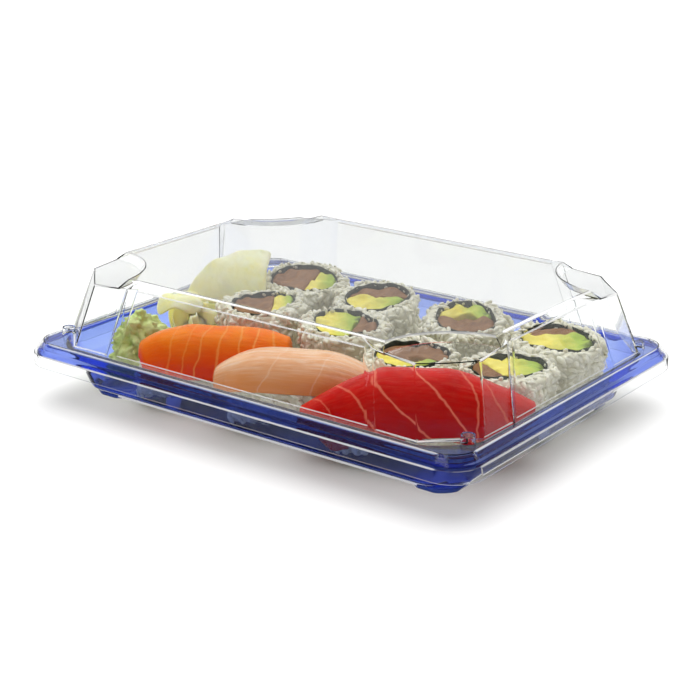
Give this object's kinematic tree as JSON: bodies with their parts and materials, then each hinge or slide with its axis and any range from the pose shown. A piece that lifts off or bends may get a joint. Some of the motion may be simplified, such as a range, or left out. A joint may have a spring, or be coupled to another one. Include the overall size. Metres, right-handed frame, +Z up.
{
  "type": "takeaway sushi tray",
  "caption": "Rectangular blue plastic takeaway tray with corner feet and a clear press-on dome lid, filled with inside-out rolls, nigiri, pickled ginger and wasabi.",
  "frame": {"origin": "middle of the footprint, on the plane the four feet stand on", "axes": "+X along the tray's long side, +Y along its short side towards the two rows of rolls, +Z up; the nigiri lie along the -Y side"},
  "size_m": [0.199, 0.148, 0.05],
  "materials": {
    "tray_plastic": "glossy, slightly translucent blue",
    "lid_plastic": "clear, glossy",
    "rice": "moist cooked grains",
    "nori": "dark, slightly moist",
    "roll_tuna": "moist",
    "avocado": "smooth, soft",
    "salmon": "moist, satin",
    "whitefish": "moist, satin",
    "tuna": "moist, satin",
    "wasabi": "grainy paste",
    "ginger": "wet, slightly translucent"
  },
  "bodies": {
    "root": {"tray": "tray_plastic", "lid": "lid_plastic", "roll_1_rice": "rice", "roll_1_nori": "nori", "roll_1_tuna": "roll_tuna", "roll_1_avocado": "avocado", "roll_2_rice": "rice", "roll_2_nori": "nori", "roll_2_tuna": "roll_tuna", "roll_2_avocado": "avocado", "roll_3_rice": "rice", "roll_3_nori": "nori", "roll_3_tuna": "roll_tuna", "roll_3_avocado": "avocado", "roll_4_rice": "rice", "roll_4_nori": "nori", "roll_4_tuna": "roll_tuna", "roll_4_avocado": "avocado", "roll_5_rice": "rice", "roll_5_nori": "nori", "roll_5_tuna": "roll_tuna", "roll_5_avocado": "avocado", "roll_6_rice": "rice", "roll_6_nori": "nori", "roll_6_tuna": "roll_tuna", "roll_6_avocado": "avocado", "roll_7_rice": "rice", "roll_7_nori": "nori", "roll_7_tuna": "roll_tuna", "roll_7_avocado": "avocado", "roll_8_rice": "rice", "roll_8_nori": "nori", "roll_8_tuna": "roll_tuna", "roll_8_avocado": "avocado", "nigiri_salmon_rice": "rice", "nigiri_salmon_slice": "salmon", "nigiri_whitefish_rice": "rice", "nigiri_whitefish_slice": "whitefish", "nigiri_tuna_rice": "rice", "nigiri_tuna_slice": "tuna", "wasabi": "wasabi", "ginger_heap": "ginger", "ginger_slice_1": "ginger", "ginger_slice_2": "ginger"}
  },
  "joints": []
}
